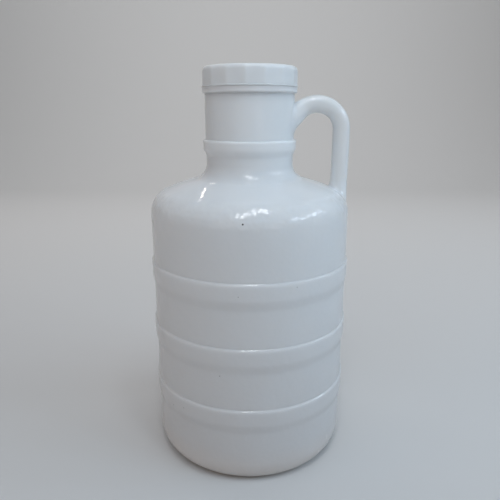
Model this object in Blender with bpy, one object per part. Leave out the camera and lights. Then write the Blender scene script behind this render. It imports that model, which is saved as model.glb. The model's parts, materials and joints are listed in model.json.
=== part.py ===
"""A four-litre milky plastic jug with a wide neck, a loop handle, a screw cap and a seal ring.

Metres, +Z up. The jug stands on z = 0 with its axis on the Z axis. The handle points along +X and
the jug is seen from -Y. Turned outlines are lists of (radius, height), from the top down.
"""
import math

import bmesh
import bpy

MM = 0.001
SIDES = 64                        # corners round every turned form, a multiple of the cap's flats
GAP = 0.3 * MM                    # clearance between pieces that touch on the real jug

# The turned body, from the table up
FOOT_INNER_RADIUS = 56.5 * MM
PUSH_UP = 4.0 * MM                # how far the middle of the underside is raised
BASE_ROUND_WIDTH = 13.0 * MM
BASE_ROUND_HEIGHT = 17.6 * MM
BASE_WALL_RADIUS = 76.0 * MM
WALL_RADIUS = 76.2 * MM
HOOP_RADIUS = 77.2 * MM
HOOP_COUNT = 3
LOWEST_HOOP = 62.8 * MM           # height of the lowest hoop's crest
HOOP_PITCH = 47.7 * MM
CREST_HEIGHT = 1.8 * MM           # height of the rounded upper edge of a hoop
BAND_HEIGHT = 11.0 * MM           # upright part of a hoop, below its crest
TUCK_HEIGHT = 9.0 * MM            # how far the band takes to draw in to the wall
GROOVE_RADIUS = 76.0 * MM         # wall just under a hoop

# The shoulder and the neck
WIDEST_HEIGHT = 194.2 * MM        # where the wall starts to turn in
SHOULDER_ROUND = 18.5 * MM
CROWN_SLOPE = math.radians(22.5)  # slope of the shoulder where its round meets its crown
CROWN_RADIUS = 180.0 * MM
NECK_FILLET = 12.0 * MM
NECK_RADIUS = 33.3 * MM
LOWER_NECK_RADIUS = 32.8 * MM     # under the raised band
NECK_BAND_RADIUS = 35.0 * MM
NECK_BEAD_RADIUS = 35.3 * MM
NECK_BEAD_HEIGHT = 247.6 * MM
NECK_BAND_TAPER = 242.6 * MM      # where the band starts to draw in
NECK_BAND_FOOT = 235.6 * MM
FINISH_RADIUS = 32.5 * MM         # the part of the neck that the cap covers
FINISH_FOOT = 285.7 * MM
MOUTH_HEIGHT = 298.0 * MM

# The handle, a loop in the plane y = 0
HANDLE_LEG_X = 69.2 * MM
HANDLE_FOOT_X = 67.6 * MM
HANDLE_TURN = 18.8 * MM           # radius of the loop's middle line
HANDLE_TURN_HEIGHT = 255.2 * MM   # height of the centre of that turn
HANDLE_TURN_END = math.radians(135)
HANDLE_ROOT_RUN = 15.5 * MM       # straight end that runs into the neck
HANDLE_FOOT_HEIGHT = 193.0 * MM   # lower end, buried in the shoulder
HANDLE_HALF_THICKNESS = 6.3 * MM
HANDLE_HALF_WIDTH = 7.4 * MM
HANDLE_SQUARENESS = 2.5           # 2 is an oval, larger is a rounder-cornered rectangle
HANDLE_SIDES = 20
FLARE = 2.4 * MM                  # extra half size where the handle meets the jug
FLARE_LENGTH = 13.0 * MM

# The seal ring and the cap
RING_FOOT = 280.9 * MM
RING_TOP = 285.6 * MM
RING_RADIUS = 35.2 * MM
RING_GROOVE = 0.35 * MM
CAP_FOOT = 286.0 * MM
CAP_TOP = 300.0 * MM
CAP_RADIUS = 35.2 * MM
CAP_LIP_RADIUS = 35.9 * MM
CAP_LIP_HEIGHT = 1.2 * MM
CAP_EDGE_ROUND = 3.2 * MM
CAP_PANEL_RADIUS = 29.0 * MM      # shallow sunk disc on top
CAP_PANEL_DEPTH = 0.5 * MM
CAP_FLATS = 16


def clear_scene():
    for item in list(bpy.data.objects):
        bpy.data.objects.remove(item, do_unlink=True)


def plastic(name, colour, roughness):
    material = bpy.data.materials.new(name)
    material.use_nodes = True
    shader = material.node_tree.nodes["Principled BSDF"]
    shader.inputs["Base Color"].default_value = (*colour, 1.0)
    shader.inputs["Roughness"].default_value = roughness
    shader.inputs["Metallic"].default_value = 0.0
    return material


def arc(centre, width, height, start, end, steps):
    """Points of an ellipse arc round a centre; angles in degrees, 0 outwards and 90 up."""
    points = []
    for step in range(steps + 1):
        angle = math.radians(start + (end - start) * step / steps)
        points.append((centre[0] + width * math.cos(angle), centre[1] + height * math.sin(angle)))
    return points


def smooth(t):
    return t * t * (3 - 2 * t)


def hoop(crest, wall_radius):
    """A hoop: a rounded upper edge standing out of the wall, an upright band, and a tuck back in."""
    points = arc((wall_radius, crest - 0.8 * CREST_HEIGHT), HOOP_RADIUS - wall_radius,
                 CREST_HEIGHT, 90, 0, 3)
    for step in range(5):
        t = step / 4
        radius = HOOP_RADIUS - (HOOP_RADIUS - GROOVE_RADIUS) * smooth(t)
        points.append((radius, crest - BAND_HEIGHT - TUCK_HEIGHT * t))
    return points


def shoulder():
    """From the neck down: a hollow fillet, a shallow crown and the round edge of the shoulder."""
    turn = math.pi / 2 - CROWN_SLOPE
    round_x = WALL_RADIUS - SHOULDER_ROUND
    crown_x = round_x + (SHOULDER_ROUND - CROWN_RADIUS) * math.cos(turn)
    crown_z = WIDEST_HEIGHT + (SHOULDER_ROUND - CROWN_RADIUS) * math.sin(turn)
    fillet_x = LOWER_NECK_RADIUS + NECK_FILLET
    reach = CROWN_RADIUS + NECK_FILLET
    fillet_z = crown_z + math.sqrt(reach ** 2 - (fillet_x - crown_x) ** 2)
    crown_end = math.degrees(math.atan2(fillet_z - crown_z, fillet_x - crown_x))
    turn = math.degrees(turn)
    fillet = arc((fillet_x, fillet_z), NECK_FILLET, NECK_FILLET, 180, 180 + crown_end, 4)
    crown = arc((crown_x, crown_z), CROWN_RADIUS, CROWN_RADIUS, crown_end, turn, 3)
    edge = arc((round_x, WIDEST_HEIGHT), SHOULDER_ROUND, SHOULDER_ROUND, turn, 0, 6)
    return fillet + crown[1:] + edge[1:]


def jug_outline():
    chamfer = 0.6 * MM
    points = [(0.0, MOUTH_HEIGHT), (FINISH_RADIUS - chamfer, MOUTH_HEIGHT),
              (FINISH_RADIUS, MOUTH_HEIGHT - chamfer), (FINISH_RADIUS, FINISH_FOOT),
              (NECK_RADIUS, FINISH_FOOT)]
    points += arc((NECK_RADIUS, NECK_BEAD_HEIGHT - 0.4 * MM), NECK_BEAD_RADIUS - NECK_RADIUS,
                  1.2 * MM, 90, 0, 2)
    points.append((NECK_BAND_RADIUS, NECK_BEAD_HEIGHT - 1.8 * MM))
    for step in range(4):
        t = step / 3
        radius = NECK_BAND_RADIUS - (NECK_BAND_RADIUS - LOWER_NECK_RADIUS) * smooth(t)
        points.append((radius, NECK_BAND_TAPER - (NECK_BAND_TAPER - NECK_BAND_FOOT) * t))
    points += shoulder()
    for number in reversed(range(HOOP_COUNT)):
        points += hoop(LOWEST_HOOP + number * HOOP_PITCH, WALL_RADIUS)
    foot_radius = BASE_WALL_RADIUS - BASE_ROUND_WIDTH
    points += arc((foot_radius, BASE_ROUND_HEIGHT), BASE_ROUND_WIDTH, BASE_ROUND_HEIGHT, 0, -90, 6)
    points += arc((0.0, 0.0), FOOT_INNER_RADIUS, PUSH_UP, 0, 90, 4)
    points[-1] = (0.0, PUSH_UP)
    return points


def seal_ring_outline():
    inner = NECK_RADIUS + GAP
    middle = (RING_FOOT + RING_TOP) / 2
    edge = 0.4 * MM
    return [(inner, RING_TOP), (RING_RADIUS - edge, RING_TOP), (RING_RADIUS, RING_TOP - edge),
            (RING_RADIUS, middle + edge), (RING_RADIUS - RING_GROOVE, middle),
            (RING_RADIUS, middle - edge), (RING_RADIUS, RING_FOOT + edge),
            (RING_RADIUS - edge, RING_FOOT), (inner, RING_FOOT)]


def cap_outline():
    """(radius, height, share of the flats) from the top's middle, down the skirt and up inside."""
    inner = FINISH_RADIUS + GAP
    ceiling = MOUTH_HEIGHT + GAP
    edge_x = CAP_RADIUS - CAP_EDGE_ROUND
    edge_z = CAP_TOP - CAP_EDGE_ROUND
    lip_top = CAP_FOOT + CAP_LIP_HEIGHT
    points = [(0.0, CAP_TOP - CAP_PANEL_DEPTH, 0.0),
              (CAP_PANEL_RADIUS, CAP_TOP - CAP_PANEL_DEPTH, 0.0),
              (CAP_PANEL_RADIUS + CAP_PANEL_DEPTH, CAP_TOP, 0.0)]
    edge = arc((edge_x, edge_z), CAP_EDGE_ROUND, CAP_EDGE_ROUND, 90, 0, 4)
    points += [(x, z, step / 4) for step, (x, z) in enumerate(edge)]
    points += [(CAP_RADIUS, lip_top + 0.8 * MM, 1.0), (CAP_LIP_RADIUS, lip_top, 0.0),
               (CAP_LIP_RADIUS, CAP_FOOT + 0.4 * MM, 0.0), (CAP_LIP_RADIUS - 0.4 * MM, CAP_FOOT, 0.0),
               (inner, CAP_FOOT, 0.0), (inner, ceiling, 0.0), (0.0, ceiling, 0.0)]
    return points


def flat_side(angle):
    """Radius, as a share, of a sixteen-sided outline with its corners on the circle."""
    pitch = 2 * math.pi / CAP_FLATS
    across = (angle % pitch) - pitch / 2
    return math.cos(pitch / 2) / math.cos(across)


def skin(name, rings, closed_tube=False):
    """A closed mesh from rings of points; a ring of one point ends the form in a fan."""
    form = bmesh.new()
    made = [[form.verts.new(point) for point in ring] for ring in rings]
    for upper, lower in zip(made, made[1:] + made[:1] if closed_tube else made[1:]):
        count = max(len(upper), len(lower))
        for side in range(count):
            after = (side + 1) % count
            if len(upper) == 1:
                form.faces.new((upper[0], lower[side], lower[after]))
            elif len(lower) == 1:
                form.faces.new((upper[side], lower[0], upper[after]))
            else:
                form.faces.new((upper[side], lower[side], lower[after], upper[after]))
    mesh = bpy.data.meshes.new(name)
    form.to_mesh(mesh)
    form.free()
    item = bpy.data.objects.new(name, mesh)
    bpy.context.scene.collection.objects.link(item)
    return item


def turned(name, outline, closed_tube=False):
    """Turns an outline round the Z axis. A third value in a point gives its share of the flats."""
    rings = []
    for radius, height, *flatness in outline:
        if radius == 0.0:
            rings.append([(0.0, 0.0, height)])
            continue
        share = flatness[0] if flatness else 0.0
        ring = []
        for side in range(SIDES):
            angle = 2 * math.pi * side / SIDES
            reach = radius * (1 - share * (1 - flat_side(angle)))
            ring.append((reach * math.cos(angle), reach * math.sin(angle), height))
        rings.append(ring)
    return skin(name, rings, closed_tube)


def handle_path():
    """The handle's middle line from its foot in the shoulder, over the loop, into the neck."""
    turn_x = HANDLE_LEG_X - HANDLE_TURN
    points = []
    for step in range(7):
        t = step / 6
        height = HANDLE_FOOT_HEIGHT + (HANDLE_TURN_HEIGHT - HANDLE_FOOT_HEIGHT) * t
        lean = (HANDLE_LEG_X - HANDLE_FOOT_X) * (1 - t) ** 3
        points.append((HANDLE_LEG_X - lean, height))
    turn_end = math.degrees(HANDLE_TURN_END)
    points += arc((turn_x, HANDLE_TURN_HEIGHT), HANDLE_TURN, HANDLE_TURN, 0, turn_end, 9)[1:]
    x, z = points[-1]
    for share in (0.35, 0.65, 1.0):
        run = HANDLE_ROOT_RUN * share
        points.append((x - run * math.sin(HANDLE_TURN_END), z + run * math.cos(HANDLE_TURN_END)))
    return points


def rounded(value, power):
    return math.copysign(abs(value) ** power, value)


def handle_form(name):
    """Rings square to the path, each a rounded rectangle that swells where it meets the jug."""
    path = handle_path()
    foot_meets = WIDEST_HEIGHT + SHOULDER_ROUND * 0.55
    rings = []
    for index, (x, z) in enumerate(path):
        before = path[max(index - 1, 0)]
        after = path[min(index + 1, len(path) - 1)]
        length = math.hypot(after[0] - before[0], after[1] - before[1])
        across = ((after[1] - before[1]) / length, -(after[0] - before[0]) / length)
        from_foot = z - foot_meets
        from_neck = x - NECK_RADIUS
        near = min(from_foot, from_neck) / FLARE_LENGTH
        swell = FLARE * max(0.0, 1 - max(near, 0.0)) ** 2
        thick = HANDLE_HALF_THICKNESS + 0.3 * swell
        wide = HANDLE_HALF_WIDTH + swell
        ring = []
        for side in range(HANDLE_SIDES):
            angle = 2 * math.pi * side / HANDLE_SIDES
            out = thick * rounded(math.cos(angle), 2 / HANDLE_SQUARENESS)
            aside = wide * rounded(math.sin(angle), 2 / HANDLE_SQUARENESS)
            ring.append((x + across[0] * out, aside, z + across[1] * out))
        rings.append(ring)
    ends = [[(path[end][0], 0.0, path[end][1])] for end in (0, -1)]
    return skin(name, [ends[0]] + rings + [ends[1]])


def face_outwards(item):
    form = bmesh.new()
    form.from_mesh(item.data)
    bmesh.ops.recalc_face_normals(form, faces=form.faces)
    form.to_mesh(item.data)
    form.free()


def fuse(base, addition):
    """Joins a second form to the base as one solid and takes the second form away."""
    union = base.modifiers.new("fuse", "BOOLEAN")
    union.operation = "UNION"
    union.solver = "EXACT"
    union.object = addition
    bpy.context.view_layer.update()
    evaluated = base.evaluated_get(bpy.context.evaluated_depsgraph_get())
    mesh = bpy.data.meshes.new_from_object(evaluated)
    base.modifiers.remove(union)
    base.data = mesh
    bpy.data.objects.remove(addition, do_unlink=True)


def finish(item, material, sharp_angle):
    item.data.materials.clear()
    item.data.materials.append(material)
    item.data.shade_smooth()
    item.data.set_sharp_from_angle(angle=math.radians(sharp_angle))


def build_jug(material):
    """Blow-moulded in one piece: body, neck and handle."""
    jug = turned("jug", jug_outline())
    handle = handle_form("handle_form")
    face_outwards(jug)
    face_outwards(handle)
    fuse(jug, handle)
    finish(jug, material, 35)


def build_seal_ring(material):
    """The tear-off ring that stays under the cap."""
    ring = turned("seal_ring", seal_ring_outline(), closed_tube=True)
    face_outwards(ring)
    finish(ring, material, 50)


def build_cap(material):
    """A screw cap with sixteen flats round its skirt and a lip at its foot."""
    cap = turned("cap", cap_outline())
    face_outwards(cap)
    finish(cap, material, 50)


def main():
    clear_scene()
    body_plastic = plastic("milky_body", (0.46, 0.50, 0.54), 0.32)
    cap_plastic = plastic("milky_cap", (0.50, 0.54, 0.58), 0.38)
    build_jug(body_plastic)
    build_seal_ring(cap_plastic)
    build_cap(cap_plastic)


main()
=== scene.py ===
# %% [markdown]
# This lesson dresses a shut, empty pickle jug of about four litres. The real one is blow-moulded from
# milky polyethylene: body, neck and handle are one piece, and a screw cap sits over a seal ring.
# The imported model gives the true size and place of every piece. It could be dressed with materials
# alone, but its facets would show, so each piece is made again here with fine steps, from the same sizes.

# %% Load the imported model
import json
import math

import bmesh
import bpy
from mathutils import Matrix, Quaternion, Vector

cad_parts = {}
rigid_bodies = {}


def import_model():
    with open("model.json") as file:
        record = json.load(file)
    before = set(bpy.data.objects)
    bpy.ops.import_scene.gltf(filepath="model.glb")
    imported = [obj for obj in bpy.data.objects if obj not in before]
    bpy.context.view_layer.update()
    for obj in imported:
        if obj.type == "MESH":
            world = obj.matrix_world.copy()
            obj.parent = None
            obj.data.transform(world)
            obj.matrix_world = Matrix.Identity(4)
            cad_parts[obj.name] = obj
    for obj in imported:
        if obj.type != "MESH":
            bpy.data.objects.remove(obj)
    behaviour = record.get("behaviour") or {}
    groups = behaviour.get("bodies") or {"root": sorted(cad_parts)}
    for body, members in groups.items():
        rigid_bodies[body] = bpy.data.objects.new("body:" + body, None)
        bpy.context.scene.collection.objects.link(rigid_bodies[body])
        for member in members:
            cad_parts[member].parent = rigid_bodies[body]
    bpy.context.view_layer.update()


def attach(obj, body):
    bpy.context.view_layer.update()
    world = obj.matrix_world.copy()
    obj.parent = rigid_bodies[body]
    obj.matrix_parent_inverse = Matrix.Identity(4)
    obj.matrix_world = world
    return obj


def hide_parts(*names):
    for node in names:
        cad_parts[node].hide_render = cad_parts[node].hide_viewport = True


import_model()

scene = bpy.context.scene
MM = 0.001

# %% [markdown]
# The camera comes first, because everything is judged through it. A hand-held phone looked slightly down
# on the jug from close by. Such a view can be found by eye, or worked out from the ellipses of the cap
# and the hoops, as it was here: the flatter an ellipse, the nearer it is to the height of the eye.

# %% Camera
EYE_HEIGHT = 270.5 * MM
EYE_DISTANCE = 390.4 * MM
LOOK_DOWN = math.radians(15.68)
SENSOR = 36.0
LENS = 36.24

camera_data = bpy.data.cameras.new("camera")
camera_data.sensor_width = SENSOR
camera_data.lens = LENS
camera_data.clip_start = 0.01
camera = bpy.data.objects.new("camera", camera_data)
camera.location = (0.3 * MM, -EYE_DISTANCE, EYE_HEIGHT)
camera.rotation_euler = (math.pi / 2 - LOOK_DOWN, 0.0, 0.0)
scene.collection.objects.link(camera)
scene.camera = camera
print("camera looks down by", round(math.degrees(LOOK_DOWN), 1), "degrees")

# %% [markdown]
# The jug stands on a plain pale sweep: a floor that bends up into a wall with no corner. One sheet of
# points pulled along a bent line is enough, and no horizon shows behind the milky plastic.


# %% Helpers for meshes
def link_mesh(name, points, faces):
    """A new object in the scene from points and faces."""
    mesh = bpy.data.meshes.new(name)
    mesh.from_pydata(points, [], faces)
    mesh.update()
    item = bpy.data.objects.new(name, mesh)
    scene.collection.objects.link(item)
    return item


def arc(centre, width, height, start, end, steps):
    """Points of an ellipse arc; angles in degrees, 0 outwards and 90 up."""
    points = []
    for step in range(steps + 1):
        angle = math.radians(start + (end - start) * step / steps)
        points.append((centre[0] + width * math.cos(angle), centre[1] + height * math.sin(angle)))
    return points


def smooth(t):
    t = min(max(t, 0.0), 1.0)
    return t * t * (3 - 2 * t)


# %% Floor sweep
SWEEP_HALF_WIDTH = 2.5
SWEEP_FRONT = -2.0
SWEEP_BACK = 1.3
SWEEP_BEND = 0.9
SWEEP_TOP = 2.6

sweep_line = [(SWEEP_FRONT, 0.0)]
sweep_line += arc((SWEEP_BACK, SWEEP_BEND), SWEEP_BEND, SWEEP_BEND, -90, 0, 24)
sweep_line.append((SWEEP_BACK + SWEEP_BEND, SWEEP_TOP))
sweep_points = [(side * SWEEP_HALF_WIDTH, y, z) for y, z in sweep_line for side in (-1, 1)]
sweep_faces = [(2 * row, 2 * row + 1, 2 * row + 3, 2 * row + 2) for row in range(len(sweep_line) - 1)]
sweep = link_mesh("sweep", sweep_points, sweep_faces)
sweep.data.shade_smooth()
print("sweep of", len(sweep_faces), "strips")

# %% [markdown]
# The body is a turned form, so one outline says it all: from the neck's end down over the shoulder and
# the three hoops to the foot and the push-up underneath. Round stretches are arcs. A lathe-like Screw
# modifier could turn it, but rings made in code can also carry the mould's seam and a slightly uneven
# wall, which every blow-moulded jug has.

# %% Sizes of the jug
FOOT_INNER_RADIUS = 56.5 * MM
PUSH_UP = 4.0 * MM
BASE_ROUND_WIDTH = 13.0 * MM
BASE_ROUND_HEIGHT = 17.6 * MM
BASE_WALL_RADIUS = 76.0 * MM
WALL_RADIUS = 76.2 * MM
HOOP_RADIUS = 77.2 * MM
HOOP_COUNT = 3
LOWEST_HOOP = 62.8 * MM
HOOP_PITCH = 47.7 * MM
CHAMFER_HEIGHT = 1.1 * MM
CHAMFER_FLATNESS = 1.75
CHAMFER_DROP = 0.65 * MM
LOWEST_CHAMFER = 0.8  # of the top hoop's height
BAND_HEIGHT = 11.0 * MM
TUCK_HEIGHT = 9.0 * MM
GROOVE_RADIUS = 76.0 * MM
WIDEST_HEIGHT = 194.2 * MM
SHOULDER_ROUND = 18.5 * MM
CROWN_SLOPE = math.radians(22.5)
CROWN_RADIUS = 180.0 * MM
NECK_FILLET = 12.0 * MM
NECK_RADIUS = 33.3 * MM
LOWER_NECK_RADIUS = 32.8 * MM
NECK_BAND_RADIUS = 35.0 * MM
NECK_BEAD_RADIUS = 35.3 * MM
NECK_BEAD_HEIGHT = 247.6 * MM
NECK_BAND_TAPER = 242.6 * MM
NECK_BAND_FOOT = 235.6 * MM
FINISH_RADIUS = 32.5 * MM
FINISH_FOOT = 285.7 * MM
MOUTH_HEIGHT = 298.0 * MM
crests = [LOWEST_HOOP + number * HOOP_PITCH for number in range(HOOP_COUNT)]
print("hoop crests at", [round(crest / MM, 1) for crest in crests], "mm")


# %% Outline of the hoops
HOOP_STEPS = 12


def hoop(crest):
    """A softly chamfered upper edge standing out of the wall, an upright band, and a tuck back in.

    A flatness of 1 would give a round edge and 2 a straight chamfer."""
    points = []
    share = (crest - crests[0]) / (crests[-1] - crests[0])
    height = CHAMFER_HEIGHT * (LOWEST_CHAMFER + (1 - LOWEST_CHAMFER) * share)
    for step in range(HOOP_STEPS + 1):
        angle = math.radians(90 - 90 * step / HOOP_STEPS)
        points.append((WALL_RADIUS + (HOOP_RADIUS - WALL_RADIUS) * math.cos(angle) ** CHAMFER_FLATNESS,
                       crest - CHAMFER_DROP + height * math.sin(angle) ** CHAMFER_FLATNESS))
    for step in range(HOOP_STEPS + 1):
        t = step / HOOP_STEPS
        radius = HOOP_RADIUS - (HOOP_RADIUS - GROOVE_RADIUS) * smooth(t)
        points.append((radius, crest - BAND_HEIGHT - TUCK_HEIGHT * t))
    return points


# %% Outline of the shoulder
def shoulder():
    """From the neck down: a hollow fillet, a shallow crown and the round edge of the shoulder."""
    turn = math.pi / 2 - CROWN_SLOPE
    round_x = WALL_RADIUS - SHOULDER_ROUND
    crown_x = round_x + (SHOULDER_ROUND - CROWN_RADIUS) * math.cos(turn)
    crown_z = WIDEST_HEIGHT + (SHOULDER_ROUND - CROWN_RADIUS) * math.sin(turn)
    fillet_x = LOWER_NECK_RADIUS + NECK_FILLET
    reach = CROWN_RADIUS + NECK_FILLET
    fillet_z = crown_z + math.sqrt(reach ** 2 - (fillet_x - crown_x) ** 2)
    crown_end = math.degrees(math.atan2(fillet_z - crown_z, fillet_x - crown_x))
    fillet = arc((fillet_x, fillet_z), NECK_FILLET, NECK_FILLET, 180, 180 + crown_end, 12)
    crown = arc((crown_x, crown_z), CROWN_RADIUS, CROWN_RADIUS, crown_end, math.degrees(turn), 8)
    edge = arc((round_x, WIDEST_HEIGHT), SHOULDER_ROUND, SHOULDER_ROUND, math.degrees(turn), 0, 20)
    return fillet + crown[1:] + edge[1:]


# %% Whole outline
LONGEST_STEP = 2.5 * MM


def filled_in(points):
    """The same outline with its long straight runs cut into short steps."""
    result = [points[0]]
    for (x0, z0), (x1, z1) in zip(points, points[1:]):
        parts = max(1, math.ceil(math.hypot(x1 - x0, z1 - z0) / LONGEST_STEP))
        for part in range(1, parts + 1):
            t = part / parts
            result.append((x0 + (x1 - x0) * t, z0 + (z1 - z0) * t))
    return result


def jug_outline():
    """(radius, height) from the neck's end down to the foot's lowest ring."""
    chamfer = 0.6 * MM
    points = [(FINISH_RADIUS - chamfer, MOUTH_HEIGHT), (FINISH_RADIUS, MOUTH_HEIGHT - chamfer),
              (FINISH_RADIUS, FINISH_FOOT), (NECK_RADIUS, FINISH_FOOT - 0.1 * MM)]
    points += arc((NECK_RADIUS, NECK_BEAD_HEIGHT - 0.4 * MM), NECK_BEAD_RADIUS - NECK_RADIUS,
                  1.2 * MM, 90, 0, 8)
    points.append((NECK_BAND_RADIUS, NECK_BEAD_HEIGHT - 1.8 * MM))
    for step in range(9):
        t = step / 8
        radius = NECK_BAND_RADIUS - (NECK_BAND_RADIUS - LOWER_NECK_RADIUS) * smooth(t)
        points.append((radius, NECK_BAND_TAPER - (NECK_BAND_TAPER - NECK_BAND_FOOT) * t))
    points += shoulder()
    for crest in reversed(crests):
        points += hoop(crest)
    foot_radius = BASE_WALL_RADIUS - BASE_ROUND_WIDTH
    points += arc((foot_radius, BASE_ROUND_HEIGHT), BASE_ROUND_WIDTH, BASE_ROUND_HEIGHT, 0, -90, 24)
    return filled_in(points)


side_outline = jug_outline()
push_up_outline = filled_in([(FOOT_INNER_RADIUS, 0.0)]
                            + arc((0.0, 0.0), FOOT_INNER_RADIUS, PUSH_UP, 4, 86, 20)[:-1])
print(len(side_outline), "points down the side and", len(push_up_outline), "under the foot")

# %% [markdown]
# The mould has two halves, which meet in the plane of the handle. They leave a thin seam up both sides
# and across the underside, where the hot tube was pinched shut. The wall also shrinks unevenly as it
# cools. Both could be painted as bump, but a seam catches light at the outline too, so it is real here:
# extra columns of points stand close to the seam, and each point moves along the surface's own normal.

# %% Seam and uneven wall
SEAM_HEIGHT = 0.16 * MM
SEAM_HALF_WIDTH = 0.55 * MM
PINCH_HEIGHT = 0.5 * MM
PINCH_HALF_WIDTH = 1.1 * MM
WAVINESS = 0.22 * MM
NORMAL_REACH = 0.5 * MM
COLUMNS = 240
SEAM_COLUMNS = (-0.6, -0.35, -0.17, 0.17, 0.35, 0.6)


def ridge(distance, half_width):
    return max(0.0, 1 - abs(distance) / half_width) ** 1.5


def waviness(angle, height):
    """How far the cooling wall drew in: a few slow waves that fade out at hoops, neck and foot."""
    waves = (math.sin(3 * angle + 42 * height + 0.7) + math.sin(5 * angle - 71 * height + 2.1)
             + math.sin(2 * angle + 118 * height + 4.0))
    from_crest = min(abs(height - crest + 0.4 * BAND_HEIGHT) for crest in crests)
    fade = smooth(from_crest / BAND_HEIGHT - 0.6)
    fade *= smooth(height / BASE_ROUND_HEIGHT - 0.5)
    fade *= 1 - smooth((height - WIDEST_HEIGHT) / SHOULDER_ROUND - 1.0)
    return WAVINESS * fade * (3 + waves) / 6


def column_angles():
    """Even steps round the jug, with extra ones beside the two seams."""
    angles = [360 * column / COLUMNS for column in range(COLUMNS)]
    angles += [side + offset for side in (0, 180) for offset in SEAM_COLUMNS]
    return [math.radians(angle) for angle in sorted(angle % 360 for angle in angles)]


def outline_normals(outline):
    """The outward direction of each outline point, in (radius, height), over a short stretch."""
    normals = []
    for index, middle in enumerate(outline):
        before = after = index
        while before > 0 and math.dist(outline[before], middle) < NORMAL_REACH:
            before -= 1
        while after < len(outline) - 1 and math.dist(outline[after], middle) < NORMAL_REACH:
            after += 1
        (x0, z0), (x1, z1) = outline[before], outline[after]
        length = math.hypot(x1 - x0, z1 - z0)
        normals.append(((z0 - z1) / length, (x1 - x0) / length))
    return normals


# %% Turn the body
def surface_point(radius, height, normal, angle, seam_height, half_width):
    """A point of the turned wall, moved out by the seam and in by the waviness."""
    move = seam_height * ridge(radius * math.sin(angle), half_width) - waviness(angle, height)
    radius = min(radius + move * normal[0], HOOP_RADIUS)
    height = max(height + move * normal[1], 0.0)
    return (radius * math.cos(angle), radius * math.sin(angle), height)


def turned_body(name):
    """Rings of the side and of the push-up, each end closed with a fan."""
    angles = column_angles()
    rings = []
    for outline, seam_height, half_width in ((side_outline, SEAM_HEIGHT, SEAM_HALF_WIDTH),
                                             (push_up_outline, PINCH_HEIGHT, PINCH_HALF_WIDTH)):
        for (radius, height), normal in zip(outline, outline_normals(outline)):
            rings.append([surface_point(radius, height, normal, angle, seam_height, half_width)
                          for angle in angles])
    points = [point for ring in rings for point in ring]
    count = len(angles)
    faces = []
    for row in range(len(rings) - 1):
        for column in range(count):
            after = (column + 1) % count
            faces.append((row * count + column, (row + 1) * count + column,
                          (row + 1) * count + after, row * count + after))
    points += [(0.0, 0.0, MOUTH_HEIGHT), (0.0, 0.0, PUSH_UP - PINCH_HEIGHT)]
    last_row = (len(rings) - 1) * count
    for column in range(count):
        after = (column + 1) % count
        faces.append((len(points) - 2, column, after))
        faces.append((len(points) - 1, last_row + after, last_row + column))
    return link_mesh(name, points, faces)


jug = turned_body("pickle_jug")
print("turned body:", len(jug.data.vertices), "points")

# %% [markdown]
# The handle is a loop of a rounded oblong section. It leaves the shoulder, climbs beside the neck, turns
# over and runs into the neck. On the real jug it grows out of both in a soft fillet, as the plastic is
# blown into one mould. A plain tube pushed into the body would show a hard line, so each lengthwise line
# of the handle ends in a curve that lies down on the body, and then the two are joined into one skin.
# The curves stay clear of the raised band on the neck: a skin that crosses itself can't be joined cleanly,
# and walls left inside it would turn the milky plastic dark.

# %% Sizes of the handle
HANDLE_LEG_X = 69.2 * MM
HANDLE_FOOT_X = 67.6 * MM
HANDLE_TURN = 18.8 * MM
HANDLE_TURN_HEIGHT = 255.2 * MM
HANDLE_TURN_END = 135.0
HANDLE_ROOT_RUN = 15.5 * MM
HANDLE_FOOT_HEIGHT = 193.0 * MM
HANDLE_HALF_THICKNESS = 6.3 * MM
HANDLE_HALF_WIDTH = 7.4 * MM
HANDLE_SQUARENESS = 2.5
SWELL = 2.4 * MM
SWELL_LENGTH = 13.0 * MM
leg_length = HANDLE_TURN_HEIGHT - HANDLE_FOOT_HEIGHT
turn_length = HANDLE_TURN * math.radians(HANDLE_TURN_END)
handle_length = leg_length + turn_length + HANDLE_ROOT_RUN
print("handle is", round(handle_length / MM), "mm long on its middle line")


# %% Middle line of the handle
def handle_middle(run):
    """(x, z) and the direction of the middle line, a given run along it from its foot."""
    if run < leg_length:
        t = run / leg_length
        lean = (HANDLE_LEG_X - HANDLE_FOOT_X) * (1 - t) ** 3
        slope = 3 * (HANDLE_LEG_X - HANDLE_FOOT_X) * (1 - t) ** 2 / leg_length
        length = math.hypot(slope, 1)
        return (HANDLE_LEG_X - lean, HANDLE_FOOT_HEIGHT + run), (slope / length, 1 / length)
    run -= leg_length
    centre_x = HANDLE_LEG_X - HANDLE_TURN
    angle = min(run / HANDLE_TURN, math.radians(HANDLE_TURN_END))
    direction = (-math.sin(angle), math.cos(angle))
    beyond = max(run - turn_length, 0.0)
    x = centre_x + HANDLE_TURN * math.cos(angle) + beyond * direction[0]
    z = HANDLE_TURN_HEIGHT + HANDLE_TURN * math.sin(angle) + beyond * direction[1]
    return (x, z), direction


def rounded(value, power):
    return math.copysign(abs(value) ** power, value)


def handle_point(run, angle):
    """A point of the handle's skin: angle 0 is the loop's outside, 180 degrees its inside."""
    (x, z), direction = handle_middle(run)
    near = min(z - WIDEST_HEIGHT - 0.55 * SHOULDER_ROUND, x - NECK_RADIUS) / SWELL_LENGTH
    swell = SWELL * max(0.0, 1 - max(near, 0.0)) ** 2
    out = (HANDLE_HALF_THICKNESS + 0.3 * swell) * rounded(math.cos(angle), 2 / HANDLE_SQUARENESS)
    aside = (HANDLE_HALF_WIDTH + swell) * rounded(math.sin(angle), 2 / HANDLE_SQUARENESS)
    out += math.copysign(SEAM_HEIGHT * ridge(aside, SEAM_HALF_WIDTH), out)
    return Vector((x + direction[1] * out, aside, z - direction[0] * out))


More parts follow.
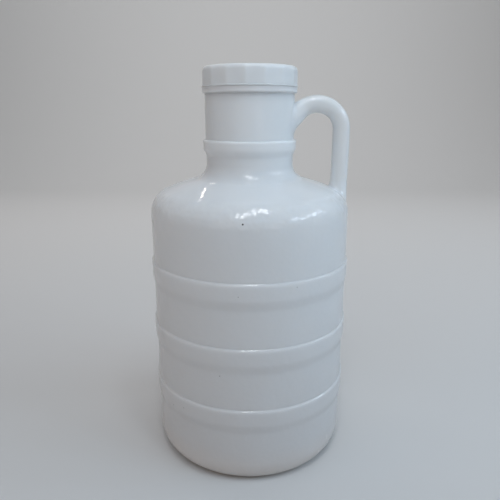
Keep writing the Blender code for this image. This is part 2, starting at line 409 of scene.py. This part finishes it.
# %% The body's surface, for the handle's ends to lie down on
def body_radius(height):
    """Radius of the body's side at a height, between the points of its outline."""
    for (x1, z1), (x0, z0) in zip(side_outline, side_outline[1:]):
        if z0 <= height <= z1 and z1 > z0:
            return x0 + (x1 - x0) * (height - z0) / (z1 - z0)
    return FINISH_RADIUS


def body_normal(point):
    step = 0.2 * MM
    slope = (body_radius(point.z + step) - body_radius(point.z - step)) / (2 * step)
    around = math.atan2(point.y, point.x)
    return Vector((math.cos(around), math.sin(around), -slope)).normalized()


def outside_by(point):
    return math.hypot(point.x, point.y) - body_radius(point.z)


def laid_on_body(point):
    """The nearest point of the body's side."""
    for _ in range(4):
        normal = body_normal(point)
        around = math.hypot(normal.x, normal.y)
        point = point - normal * outside_by(point) * around
    return point


# %% [markdown]
# A fillet is a curve steered by four points: where it leaves the handle, two that pull it towards the
# corner, and where it lies down on the body. It starts further off on the loop's inside and at its sides,
# because there the corner is wide open, and it ends a hair under the skin, so that the two forms cross.

# %% One lengthwise line of the handle
# each measure: on the loop's outside, added on its inside, added at its sides, all in mm
FOOT_RISE, FOOT_SPREAD = (3.0, 1.0, 0.0), (4.5, -2.5, 0.0)
ROOT_RISE, ROOT_SPREAD = (2.2, 3.3, 1.5), (1.8, 3.2, 2.0)
FILLET_FULLNESS = 0.6
FILLET_SINK = 0.08 * MM
FILLET_STEPS = 9
MIDDLE_STEPS = 10
LOOP_STEPS = 64
FOOT_JOIN = 30.0 * MM
FOOT_INSIDE = 4.0 * MM
ROOT_JOIN = handle_length - 22.0 * MM


def meeting_run(angle, start, end):
    """The run at which a lengthwise line goes into the body, between a run outside and one inside."""
    for _ in range(24):
        middle = (start + end) / 2
        if outside_by(handle_point(middle, angle)) > 0:
            start = middle
        else:
            end = middle
    return start


def bent(points, t):
    """A point of the curve that four points steer."""
    a, b, c, d = points
    s = 1 - t
    return a * s ** 3 + b * 3 * s * s * t + c * 3 * s * t * t + d * t ** 3


def fillet(angle, meeting, towards, rise, spread):
    """From the straight handle to a point just under the body's skin, lying down on it."""
    start = handle_point(meeting - towards * rise, angle)
    hit = handle_point(meeting, angle)
    (x, z), _ = handle_middle(meeting)
    normal = body_normal(hit)
    aside = hit - Vector((x, 0.0, z))
    aside = (aside - normal * aside.dot(normal)).normalized()
    end = laid_on_body(hit + aside * spread)
    end_normal = body_normal(end)
    arriving = (aside - end_normal * aside.dot(end_normal)).normalized()
    end = end - end_normal * FILLET_SINK
    steer = (start, start.lerp(hit, FILLET_FULLNESS), end - arriving * spread * FILLET_FULLNESS, end)
    return [bent(steer, step / FILLET_STEPS) for step in range(FILLET_STEPS + 1)]


def around_loop(measure, angle):
    """A fillet's measure in metres, on the lengthwise line at this angle."""
    outside, more_inside, more_at_sides = measure
    inner = 0.5 - 0.5 * math.cos(angle)
    return (outside + more_inside * inner + more_at_sides * math.sin(angle) ** 2) * MM


def handle_line(angle):
    """From the foot's fillet over the loop to the neck's fillet."""
    foot = meeting_run(angle, FOOT_JOIN, FOOT_INSIDE)
    root = meeting_run(angle, ROOT_JOIN, handle_length)
    foot_rise = around_loop(FOOT_RISE, angle)
    root_rise = around_loop(ROOT_RISE, angle)
    points = fillet(angle, foot, -1, foot_rise, around_loop(FOOT_SPREAD, angle))[::-1]
    for start, end, steps in ((foot + foot_rise, FOOT_JOIN, MIDDLE_STEPS),
                              (FOOT_JOIN, ROOT_JOIN, LOOP_STEPS),
                              (ROOT_JOIN, root - root_rise, MIDDLE_STEPS)):
        points += [handle_point(start + (end - start) * step / steps, angle)
                   for step in range(1, steps + 1)]
    return points + fillet(angle, root, 1, root_rise, around_loop(ROOT_SPREAD, angle))[1:]


# %% Skin of the handle
HANDLE_SIDES = 56
HANDLE_SEAM_ANGLES = (-2.6, -1.2, 1.2, 2.6)
INSIDE_FOOT = Vector((60 * MM, 0, 196 * MM))
INSIDE_ROOT = Vector((24 * MM, 0, 262 * MM))
handle_angles = [360 * side / HANDLE_SIDES for side in range(HANDLE_SIDES)]
handle_angles += [side + offset for side in (0, 180) for offset in HANDLE_SEAM_ANGLES]
handle_angles = [math.radians(angle) for angle in sorted(angle % 360 for angle in handle_angles)]
lines = [handle_line(angle) for angle in handle_angles]
line_count, line_length = len(lines), len(lines[0])
handle_points = [point for line in lines for point in line]
handle_faces = []
for side in range(line_count):
    after = (side + 1) % line_count
    for step in range(line_length - 1):
        handle_faces.append((side * line_length + step, after * line_length + step,
                             after * line_length + step + 1, side * line_length + step + 1))
for end, inside in ((0, INSIDE_FOOT), (line_length - 1, INSIDE_ROOT)):
    handle_points.append(inside)
    for side in range(line_count):
        pair = (side * line_length + end, (side + 1) % line_count * line_length + end)
        handle_faces.append((len(handle_points) - 1, *(pair if end else pair[::-1])))
handle = link_mesh("handle", handle_points, handle_faces)
print("handle:", len(handle_points), "points in", line_count, "lengthwise lines")


# %% [markdown]
# The two skins are now cut along the line where they cross, and what lies inside is dropped. Two skins
# that only overlap would look the same from far off, but light scatters inside the plastic and would show
# the hidden walls. The cut leaves crowded points, so the close ones are merged and the join is eased.

# %% Join the handle to the body
JOINT_REACH = 0.12 * MM
JOINT_ROWS = 2
JOINT_MERGE = 0.03 * MM
EASING = 0.4
EASING_ROUNDS = 4


def face_outwards(item):
    form = bmesh.new()
    form.from_mesh(item.data)
    bmesh.ops.recalc_face_normals(form, faces=form.faces)
    form.to_mesh(item.data)
    form.free()


def join_skins(base, addition):
    """One closed skin from two; the second object is then removed."""
    union = base.modifiers.new("union", "BOOLEAN")
    union.operation = "UNION"
    union.solver = "EXACT"
    union.object = addition
    bpy.context.view_layer.update()
    evaluated = base.evaluated_get(bpy.context.evaluated_depsgraph_get())
    mesh = bpy.data.meshes.new_from_object(evaluated)
    base.modifiers.remove(union)
    base.data = mesh
    bpy.data.objects.remove(addition, do_unlink=True)


def by_place(points):
    """In an order that doesn't hang on how the union numbered them, so that each run gives the same."""
    return sorted(points, key=lambda point: tuple(point.co))


def ease_join(item):
    """Softens the skin where handle and body met, and nothing else."""
    form = bmesh.new()
    form.from_mesh(item.data)
    joint = [point for point in form.verts
             if abs(point.co.y) < 20 * MM and point.co.x > 20 * MM and point.co.z > 190 * MM
             and abs(outside_by(point.co)) < JOINT_REACH and len(point.link_edges) != 4]
    near = set(joint)
    for _ in range(JOINT_ROWS):
        near |= {edge.other_vert(point) for point in list(near) for edge in point.link_edges}
    near = by_place(near)
    bmesh.ops.remove_doubles(form, verts=near, dist=JOINT_MERGE)
    near = [point for point in near if point.is_valid]
    for _ in range(EASING_ROUNDS):
        bmesh.ops.smooth_vert(form, verts=near, factor=EASING,
                              use_axis_x=True, use_axis_y=True, use_axis_z=True)
    form.to_mesh(item.data)
    form.free()
    return len(near)


face_outwards(jug)
face_outwards(handle)
join_skins(jug, handle)
print("joined skin:", len(jug.data.polygons), "faces;", ease_join(jug), "points eased")
SHARP_ANGLE = math.radians(50)
jug.data.shade_smooth()
jug.data.set_sharp_from_angle(angle=SHARP_ANGLE)

# %% [markdown]
# The cap is moulded on its own. Its skirt has sixteen flats that meet in soft corners, its top edge is
# round, and a thin lip runs round its foot. Sixteen cut faces would give hard corners, so the radius
# comes from a formula that lets neighbouring flats melt into each other over about a millimetre.

# %% Sizes of the cap and the seal ring
RING_FOOT = 280.9 * MM
RING_RADIUS = 35.2 * MM
RING_GROOVE = 0.07 * MM
RING_GAP = 0.08 * MM
RING_TAPER = 1.4 * MM
CLEARANCE = 0.3 * MM
CAP_FOOT = 286.0 * MM
CAP_TOP = 300.0 * MM
CAP_RADIUS = 35.2 * MM
CAP_LIP_RADIUS = 35.6 * MM
CAP_LIP_HEIGHT = 0.7 * MM
CAP_EDGE_ROUND = 3.2 * MM
CAP_PANEL_RADIUS = 29.0 * MM
CAP_PANEL_DEPTH = 0.5 * MM
CAP_FLATS = 16
CAP_TURN = math.radians(-4.5)
FLAT_CRISPNESS = 240
BRIDGES = 12
print("cap is", round((CAP_TOP - CAP_FOOT) / MM, 1), "mm tall with", CAP_FLATS, "flats")


# %% Turned rings with flats or bridges
def flat_side(angle):
    """Radius of the flats, as a share of the corner circle, with melted corners."""
    pitch = 2 * math.pi / CAP_FLATS
    total = 0.0
    for number in range(CAP_FLATS):
        facing = math.cos(angle - CAP_TURN - (number + 0.5) * pitch)
        if facing > 0:
            total += (facing / math.cos(pitch / 2)) ** FLAT_CRISPNESS
    return total ** (-1 / FLAT_CRISPNESS)


def on_bridge(angle):
    """1 on one of the thin bridges between ring and cap, 0 between them."""
    pitch = 2 * math.pi / BRIDGES
    return 1.0 if abs((angle % pitch) - pitch / 2) < math.radians(1.4) else 0.0


def turned_ring(name, outline, columns, closed_tube):
    """Outline points are (radius, height, share of the flats, lift on a bridge)."""
    points, faces = [], []
    for radius, height, flats, lift in outline:
        for column in range(columns):
            angle = 2 * math.pi * column / columns
            reach = radius * (1 - flats * (1 - flat_side(angle))) if flats else radius
            top = height + (lift * on_bridge(angle) if lift else 0.0)
            points.append((reach * math.cos(angle), reach * math.sin(angle), top))
    rows = len(outline)
    for row in range(rows if closed_tube else rows - 1):
        below = (row + 1) % rows
        for column in range(columns):
            after = (column + 1) % columns
            faces.append((row * columns + column, below * columns + column,
                          below * columns + after, row * columns + after))
    if not closed_tube:
        for row in (0, rows - 1):
            points.append((0.0, 0.0, outline[row][1]))
            for column in range(columns):
                pair = (row * columns + column, row * columns + (column + 1) % columns)
                faces.append((len(points) - 1, *(pair[::-1] if row else pair)))
    return link_mesh(name, points, faces)


# %% Cap
CAP_COLUMNS = 384
CAP_INNER_RADIUS = FINISH_RADIUS + CLEARANCE
GATE_RADIUS = 1.6 * MM
GATE_DEPTH = 0.25 * MM


def cap_outline():
    """From the gate mark in the middle of the top, down the skirt and up inside."""
    panel = CAP_TOP - CAP_PANEL_DEPTH
    points = [(0.4 * MM, panel - GATE_DEPTH, 0, 0), (GATE_RADIUS - 0.3 * MM, panel - GATE_DEPTH, 0, 0),
              (GATE_RADIUS, panel - 0.05 * MM, 0, 0), (GATE_RADIUS + 0.3 * MM, panel, 0, 0)]
    points += [(radius * MM, panel, 0, 0) for radius in (8, 15, 22, 26, 28)]
    for step in range(7):
        t = step / 6
        points.append((CAP_PANEL_RADIUS - 0.3 * MM + 1.1 * MM * t,
                       panel + CAP_PANEL_DEPTH * smooth(t), 0, 0))
    round_x, round_z = CAP_RADIUS - CAP_EDGE_ROUND, CAP_TOP - CAP_EDGE_ROUND
    edge = arc((round_x, round_z), CAP_EDGE_ROUND, CAP_EDGE_ROUND, 90, 0, 12)
    points += [(x, z, smooth(step / 12), 0) for step, (x, z) in enumerate(edge)]
    lip_top = CAP_FOOT + CAP_LIP_HEIGHT
    lip_round = 0.2 * MM
    skirt_foot = lip_top + 0.1 * MM
    points += [(CAP_RADIUS, round_z + (skirt_foot - round_z) * step / 4, 1, 0) for step in range(1, 5)]
    for step in range(1, 5):
        t = step / 4
        points.append((CAP_RADIUS + (CAP_LIP_RADIUS - lip_round - CAP_RADIUS) * t,
                       skirt_foot - (skirt_foot - lip_top) * smooth(t), 1 - smooth(t), 0))
    points += [(x, z, 0, 0) for x, z in arc((CAP_LIP_RADIUS - lip_round, lip_top - lip_round),
                                            lip_round, lip_round, 75, 0, 4)]
    points += [(x, z, 0, 0) for x, z in arc((CAP_LIP_RADIUS - 0.5 * lip_round, CAP_FOOT + 0.5 * lip_round),
                                            0.5 * lip_round, 0.5 * lip_round, 0, -90, 4)]
    ceiling = MOUTH_HEIGHT + CLEARANCE
    points += [(CAP_INNER_RADIUS + 0.3 * MM, CAP_FOOT, 0, 0), (CAP_INNER_RADIUS, CAP_FOOT + 0.3 * MM, 0, 0),
               (CAP_INNER_RADIUS, ceiling, 0, 0), (0.5 * CAP_INNER_RADIUS, ceiling, 0, 0)]
    return points


cap = turned_ring("screw_cap", cap_outline(), CAP_COLUMNS, closed_tube=False)
face_outwards(cap)
cap.data.shade_smooth()
cap.data.set_sharp_from_angle(angle=SHARP_ANGLE)
print("cap:", len(cap.data.vertices), "points")

# %% [markdown]
# The seal ring is torn from the cap when the jug is first opened. Until then thin bridges hold the two
# together across a narrow gap. They could be separate blocks, but as small rises of the ring's upper
# edge they belong to one closed skin, as they do in the mould.


# %% Seal ring
RING_COLUMNS = 360


def ring_outline():
    """A closed outline: inner top, over the outer wall with its groove, to a tapered lower edge."""
    ring_top = CAP_FOOT - RING_GAP
    middle = (RING_FOOT + ring_top) / 2
    edge = 0.2 * MM
    points = [(NECK_RADIUS + CLEARANCE, ring_top, 0, 0), (RING_RADIUS - 0.95 * MM, ring_top, 0, 0),
              (RING_RADIUS - 0.9 * MM, ring_top, 0, RING_GAP),
              (RING_RADIUS - 0.5 * MM, ring_top, 0, RING_GAP)]
    points += [(x, z, 0, 0) for x, z in arc((RING_RADIUS - edge, ring_top - edge), edge, edge, 88, 0, 5)]
    for step in range(9):
        t = step / 8
        depth = RING_GROOVE * smooth(1 - abs(2 * t - 1))
        points.append((RING_RADIUS - depth, middle + 0.4 * MM + 0.6 * MM * (1 - 2 * t), 0, 0))
    for step in range(9):
        t = step / 8
        radius = RING_RADIUS - (RING_RADIUS - NECK_RADIUS - 0.35 * MM) * smooth(t)
        points.append((radius, RING_FOOT + RING_TAPER * (1 - t), 0, 0))
    points.append((NECK_RADIUS + 0.05 * MM, RING_FOOT + 0.2 * MM, 0, 0))
    return points


seal_ring = turned_ring("tear_off_ring", ring_outline(), RING_COLUMNS, closed_tube=True)
face_outwards(seal_ring)
seal_ring.data.shade_smooth()
seal_ring.data.set_sharp_from_angle(angle=SHARP_ANGLE)
print("seal ring with", BRIDGES, "bridges:", len(seal_ring.data.vertices), "points")

# %% [markdown]
# Milky polyethylene is not quite opaque: light goes in, scatters and comes out a few millimetres away,
# which softens every shadow on it. Glass-like transmission would show the inside, which the photograph
# never does. Subsurface scattering under a soft gloss gives the waxy white, and it costs far less.


# %% Helpers for materials
def new_plastic(name):
    material = bpy.data.materials.new(name)
    material.use_nodes = True
    return material, material.node_tree.nodes["Principled BSDF"]


def add_node(material, kind, inputs=(), **settings):
    """A node with its settings; inputs are (socket name or number, value or another node's output)."""
    node = material.node_tree.nodes.new(kind)
    for setting, value in settings.items():
        setattr(node, setting, value)
    for socket, value in inputs:
        if isinstance(value, bpy.types.NodeSocket):
            material.node_tree.links.new(value, node.inputs[socket])
        else:
            node.inputs[socket].default_value = value
    return node


def place_on(material):
    """The surface point in metres, in the jug's own frame."""
    return add_node(material, "ShaderNodeTexCoord").outputs["Object"]


def noise(material, where, scale, detail=2.0, stretch=(1.0, 1.0, 1.0)):
    """Uneven values between 0 and 1; the scale is in spots per metre."""
    if stretch != (1.0, 1.0, 1.0):
        where = add_node(material, "ShaderNodeVectorMath", ((0, where), (1, stretch)),
                         operation="MULTIPLY").outputs[0]
    return add_node(material, "ShaderNodeTexNoise",
                    (("Vector", where), ("Scale", scale), ("Detail", detail))).outputs[0]


def between(material, value, low, high, to_low=0.0, to_high=1.0):
    """Maps a stretch of a value onto another stretch, smoothly, and stops at both ends."""
    return add_node(material, "ShaderNodeMapRange",
                    (("Value", value), ("From Min", low), ("From Max", high),
                     ("To Min", to_low), ("To Max", to_high)),
                    interpolation_type="SMOOTHSTEP").outputs[0]


def combine(material, operation, first, second):
    return add_node(material, "ShaderNodeMath", ((0, first), (1, second)), operation=operation).outputs[0]


def tinted(material, share, colour, tint):
    """The colour where the share is 0, the tint where it is 1."""
    node = add_node(material, "ShaderNodeMix", ((0, share), (6, colour), (7, tint)), data_type="RGBA")
    return node.outputs[2]


# %% [markdown]
# A moulding is never evenly glossy. It has cloudy patches, scratches from being handled, a slow wobble
# where the wall cooled, and a fine orange peel. An even roughness would look like glass or wax, so noise
# of four sizes makes them. The wobble breaks up the lamps' reflections into spots.

# %% Surface of moulded polyethylene
CLOUDS, SCRATCHES, PEEL = 45, 60, 1100  # spots per metre
SCRATCH_STRETCH = (14.0, 14.0, 0.6)
SCRATCH_ROUGHNESS = 0.025
CLOUD_ROUGHNESS = 0.02
PEEL_STRENGTH = 0.35
PEEL_DEPTH = 0.02 * MM


def moulded_surface(material, shader, where, roughness, wobble, wobble_depth):
    """Gives the shader its roughness and relief, and returns the cloudy patches."""
    cloud = noise(material, where, CLOUDS, 4)
    scratch = noise(material, where, SCRATCHES, 6, stretch=SCRATCH_STRETCH)
    uneven = combine(material, "ADD", between(material, scratch, 0.60, 0.74, 0.0, SCRATCH_ROUGHNESS),
                     between(material, cloud, 0.3, 0.7, -CLOUD_ROUGHNESS, CLOUD_ROUGHNESS))
    rough = combine(material, "ADD", uneven, roughness)
    material.node_tree.links.new(rough, shader.inputs["Roughness"])
    slow = add_node(material, "ShaderNodeBump",
                    (("Strength", 1.0), ("Distance", wobble_depth), ("Height", wobble)))
    peel = add_node(material, "ShaderNodeBump",
                    (("Strength", PEEL_STRENGTH), ("Distance", PEEL_DEPTH),
                     ("Height", noise(material, where, PEEL, 3)), ("Normal", slow.outputs[0])))
    material.node_tree.links.new(peel.outputs[0], shader.inputs["Normal"])
    return cloud


def scattering(shader, weight, depth):
    """Light that goes in, scatters and comes out nearly as white."""
    shader.inputs["Subsurface Weight"].default_value = weight
    shader.inputs["Subsurface Radius"].default_value = (1.0, 0.95, 0.9)
    shader.inputs["Subsurface Scale"].default_value = depth
    shader.inputs["IOR"].default_value = 1.5


# %% [markdown]
# The jug's gloss isn't the same everywhere. Shoulder, handle and the rubbed upper edges of the hoops are
# smoother than the walls. Separate materials would leave lines between them, so the height on the jug
# decides, with soft steps, and the share across picks out the handle.

# %% Where the jug is smooth and where it wobbles
GLOSS = 0.24
POLISH = 0.19
WOBBLES = 170  # spots per metre
WOBBLE_DEPTH = 0.6 * MM
body_plastic, shader = new_plastic("body_plastic")
where = place_on(body_plastic)
split = add_node(body_plastic, "ShaderNodeSeparateXYZ", ((0, where),))
across, height = split.outputs["X"], split.outputs["Z"]


def by_height(low, high, to_low=0.0, to_high=1.0):
    """A share that changes softly between two heights in mm."""
    return between(body_plastic, height, low * MM, high * MM, to_low, to_high)


def both(first, second):
    return combine(body_plastic, "MULTIPLY", first, second)


def either(first, second):
    return combine(body_plastic, "MAXIMUM", first, second)


on_shoulder = both(by_height(212, 208, 0.06, 1.0), by_height(190, 202, 0.3, 1.0))
wobble = both(noise(body_plastic, where, WOBBLES, 1), on_shoulder)
on_handle = both(between(body_plastic, across, 36 * MM, 44 * MM), by_height(212, 220))
# the rubbed upper edges of the hoops: smoother, and in the colours also partly a painted highlight
rubbed = 0.0
for crest in crests:
    line = crest / MM
    rubbed = either(rubbed, both(by_height(line - 4.5, line - 0.6), by_height(line + 0.9, line + 0.2)))
polish = either(either(both(by_height(194, 206), by_height(232, 224)), on_handle), rubbed)
gloss = combine(body_plastic, "SUBTRACT", GLOSS, both(polish, POLISH))
cloud = moulded_surface(body_plastic, shader, where, gloss, wobble, WOBBLE_DEPTH)
print("roughness from", round(GLOSS - POLISH, 2), "to", GLOSS)

# %% [markdown]
# Less daylight gets low down, so the milky white is painted greyer towards the foot, as painted shade,
# and warmer over the lowest few centimetres, as a painted reflection of warm light off the floor. The
# rubbed upper edges of the hoops are painted a little whiter: partly wear, partly a painted highlight.
# A painted picture could show that, but a few colours mixed by height stay sharp at any size. The specks
# are grit caught in the plastic, and each is a small dark ball around a point.

# %% Colours of the jug
MILKY_TOP = (0.765, 0.79, 0.81, 1)
# painted shade: the colour at the foot, where less light falls
MILKY_FOOT = (0.575, 0.575, 0.583, 1)
MILKY_HANDLE = (0.705, 0.72, 0.728, 1)
CLOUDY = (0.62, 0.66, 0.69, 1)
# painted reflection of warm light off the floor
WARM_BASE = (0.60, 0.57, 0.55, 1)
# partly wear, partly a painted highlight
RUBBED = (0.76, 0.785, 0.81, 1)
SPECK = (0.035, 0.03, 0.03, 1)
SPECKS = (  # where dark specks sit: degrees round from the front, height in mm, radius in mm
    (-3.3, 199.0, 0.56), (-16.1, 89.1, 0.28), (-49.0, 51.7, 0.30), (-39.7, 54.8, 0.26),
    (24.6, 154.5, 0.22), (-5.6, 149.9, 0.22))
# painted shade: the milky white turns greyer towards the foot, where less light falls
upwards = add_node(body_plastic, "ShaderNodeMapRange",
                   (("Value", height), ("From Min", 10 * MM), ("From Max", 250 * MM))).outputs[0]
colour = tinted(body_plastic, upwards, MILKY_FOOT, MILKY_TOP)
colour = tinted(body_plastic, on_handle, colour, MILKY_HANDLE)
colour = tinted(body_plastic, between(body_plastic, cloud, 0.3, 0.7, 0.0, 0.12), colour, CLOUDY)
# painted reflection of warm light off the floor, over the lowest few centimetres
colour = tinted(body_plastic, by_height(34, 0), colour, WARM_BASE)
# the rubbed hoop edges are painted whiter: partly wear, partly a painted highlight
colour = tinted(body_plastic, both(rubbed, 0.15), colour, RUBBED)


def speck_place(around, speck_height):
    """A point on the wall at an angle from the front, towards the handle."""
    angle = math.radians(around - 90)
    radius = body_radius(speck_height * MM)
    return (radius * math.cos(angle), radius * math.sin(angle), speck_height * MM)


for around, speck_height, radius in SPECKS:
    away = add_node(body_plastic, "ShaderNodeVectorMath",
                    ((0, where), (1, speck_place(around, speck_height))), operation="DISTANCE").outputs[1]
    share = between(body_plastic, away, radius * 1.4 * MM, radius * 0.7 * MM)
    colour = tinted(body_plastic, share, colour, SPECK)
body_plastic.node_tree.links.new(colour, shader.inputs["Base Color"])
scattering(shader, 0.9, 12 * MM)
print("body plastic with", len(SPECKS), "specks")

# %% [markdown]
# Cap and ring come from another mould and are thinner, so they are whiter and less milky, and light
# doesn't travel as far in them. The ring is painted paler still: painted light that lifts the shade under
# the cap's lip. One material serves both.

# %% Plastic of the cap and the ring
CAP_PALE = (0.86, 0.90, 0.92, 1)
CAP_DEEP = (0.845, 0.888, 0.91, 1)
# painted light: the ring is made paler to lift the shade under the cap's lip
THIN_RING = (0.93, 0.95, 0.97, 1)
CAP_GLOSS = 0.30
cap_plastic, shader = new_plastic("cap_plastic")
where = place_on(cap_plastic)
cloud = moulded_surface(cap_plastic, shader, where, CAP_GLOSS, noise(cap_plastic, where, 110, 1), 0.05 * MM)
colour = tinted(cap_plastic, between(cap_plastic, cloud, 0.3, 0.7), CAP_PALE, CAP_DEEP)
split = add_node(cap_plastic, "ShaderNodeSeparateXYZ", ((0, where),))
# where the painted light on the ring goes
on_ring = between(cap_plastic, split.outputs["Z"], CAP_FOOT + 0.4 * MM, CAP_FOOT - 0.2 * MM)
colour = tinted(cap_plastic, on_ring, colour, THIN_RING)
cap_plastic.node_tree.links.new(colour, shader.inputs["Base Color"])
scattering(shader, 0.8, 6 * MM)
print("cap plastic, roughness", CAP_GLOSS)

# %% [markdown]
# Each piece gets its plastic, hides the imported solid it stands for, and is attached to the body it moves
# with.
# The jug has only one body, as nothing on it moves.

# %% Dress the pieces
for piece, node, material, slot in ((jug, "jug", body_plastic, "body_plastic"),
                                    (cap, "cap", cap_plastic, "cap_plastic"),
                                    (seal_ring, "seal_ring", cap_plastic, "cap_plastic")):
    piece.data.materials.clear()
    piece.data.materials.append(material)
    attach(piece, "root")
    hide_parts(node)
    print(piece.name, "stands for", node)

# %% [markdown]
# The sweep is pale matt paper with a faint grain. A plain grey would do, but the grain keeps large even
# areas from looking like a screen.

# %% Paper of the sweep
paper, shader = new_plastic("paper")
where = place_on(paper)
colour = tinted(paper, noise(paper, where, 900, 3), (0.61, 0.61, 0.61, 1), (0.63, 0.63, 0.63, 1))
paper.node_tree.links.new(colour, shader.inputs["Base Color"])
shader.inputs["Roughness"].default_value = 0.9
shader.inputs["Specular IOR Level"].default_value = 0.1
sweep.data.materials.append(paper)
print("paper sweep ready")

# %% [markdown]
# The light is soft and cool, mostly from above and from the right, with a warmer wall at the left. Small
# lamps overhead and the panes of a window leave rows of spots on the shoulder, and a thin lamp behind
# leaves the streak at its left. Each is placed by its direction from the jug, because a spot on glossy
# plastic tells where its light is. A picture of a whole room could light it too, but lamps can be moved
# one by one. The large soft ones are kept out of the gloss where they would grey the whole wall.


# %% Helpers for lights
JUG_MIDDLE = Vector((0.0, 0.0, 0.17))
WHITE = (1.0, 1.0, 1.0)
LAMP_WHITE = (0.94, 0.97, 1.0)
WINDOW_BLUE = (0.74, 0.85, 1.0)
WARM = (1.0, 0.87, 0.80)


def area_light(name, width, height, power, colour, mirrored):
    """A soft rectangle of light that the camera doesn't see, but the gloss may mirror."""
    data = bpy.data.lights.new(name, "AREA")
    data.shape = "RECTANGLE"
    data.size, data.size_y = width, height
    data.energy = power
    data.color = colour
    lamp = bpy.data.objects.new(name, data)
    lamp.visible_camera = False
    lamp.visible_glossy = mirrored
    scene.collection.objects.link(lamp)
    return lamp


def softbox(name, around, above, distance, width, height, power, colour, slant=0.0, mirrored=True):
    """A light that faces the jug; degrees round from the front towards the handle, and above."""
    turn, rise = math.radians(around), math.radians(above)
    towards = Vector((math.sin(turn) * math.cos(rise), -math.cos(turn) * math.cos(rise), math.sin(rise)))
    lamp = area_light(name, width, height, power, colour, mirrored)
    lamp.location = JUG_MIDDLE + towards * distance
    facing = towards.to_track_quat("Z", "Y") @ Quaternion((0, 0, 1), math.radians(slant))
    lamp.rotation_euler = facing.to_euler()


# %% Lamps that leave spots
# each softbox: degrees round, degrees above, distance, width and height in metres, watts, colour
CEILING_LAMPS = (  # degrees round, degrees above, watts
    (-20, 51, 0.15), (-9, 54, 0.9), (5, 60, 1.0), (31, 68, 0.9), (0, 71, 1.0))
WINDOW_PANES = ((58, 26, 0.8), (72, 29, 0.9), (85, 28, 1.0), (96, 29, 0.9))
for number, (around, above, power) in enumerate(CEILING_LAMPS):
    softbox("ceiling_lamp_%d" % number, around, above, 1.2, 0.10, 0.30, power, LAMP_WHITE)
for number, (around, above, power) in enumerate(WINDOW_PANES):
    softbox("window_pane_%d" % number, around, above, 1.4, 0.13, 0.26, power, WINDOW_BLUE)
softbox("lamp_behind", -159.8, 39, 1.4, 0.01, 0.27, 0.15, WARM, slant=-30)
softbox("lamp_behind_end", -151, 47, 1.4, 0.03, 0.18, 0.03, WARM, slant=-30)
print(len(CEILING_LAMPS), "ceiling lamps and", len(WINDOW_PANES), "window panes")

# %% Large soft lights
softbox("daylight", 42, 48, 0.80, 0.50, 0.50, 1.12, (0.55, 0.81, 1.0), mirrored=False)
softbox("left_daylight", -50, 45, 0.80, 0.50, 0.50, 0.61, (0.52, 0.74, 1.0), mirrored=False)
softbox("right_wall", 75, 15, 1.4, 0.8, 0.9, 2.86, (0.62, 0.83, 1.0), mirrored=False)
softbox("left_wall", -75, 12, 1.5, 0.9, 0.9, 1.70, (1.0, 0.64, 0.35), mirrored=False)
softbox("front_wall", -15, 15, 1.5, 1.2, 1.2, 2.18, (1.0, 0.90, 0.83))
softbox("front_fill", -15, 15, 1.5, 1.2, 1.2, 0.86, (1.0, 0.65, 0.53), mirrored=False)
softbox("back_left_wall", -138, 32, 1.4, 1.5, 0.9, 0.3, (1.0, 0.7, 0.65))
softbox("front_card", 24, 4, 1.4, 0.25, 0.5, 0.67, (1.0, 0.88, 0.85))
backdrop_lamp = area_light("backdrop_lamp", 2.4, 0.3, 20, WHITE, mirrored=False)
backdrop_lamp.location = (0.0, 0.55, 1.5)
backdrop_lamp.rotation_euler = (math.radians(55), 0.0, 0.0)

# %% [markdown]
# What is left is light from all over the room. A weak even glow lifts the deepest shadows, and more of it
# would flatten the round form.

# %% Room light
ROOM_STRENGTH = 0.12
room = bpy.data.worlds.new("room")
room.use_nodes = True
background = room.node_tree.nodes["Background"]
background.inputs["Color"].default_value = (*WHITE, 1.0)
background.inputs["Strength"].default_value = ROOM_STRENGTH
scene.world = room
scene.view_settings.view_transform = "Standard"
print("room light strength", ROOM_STRENGTH)
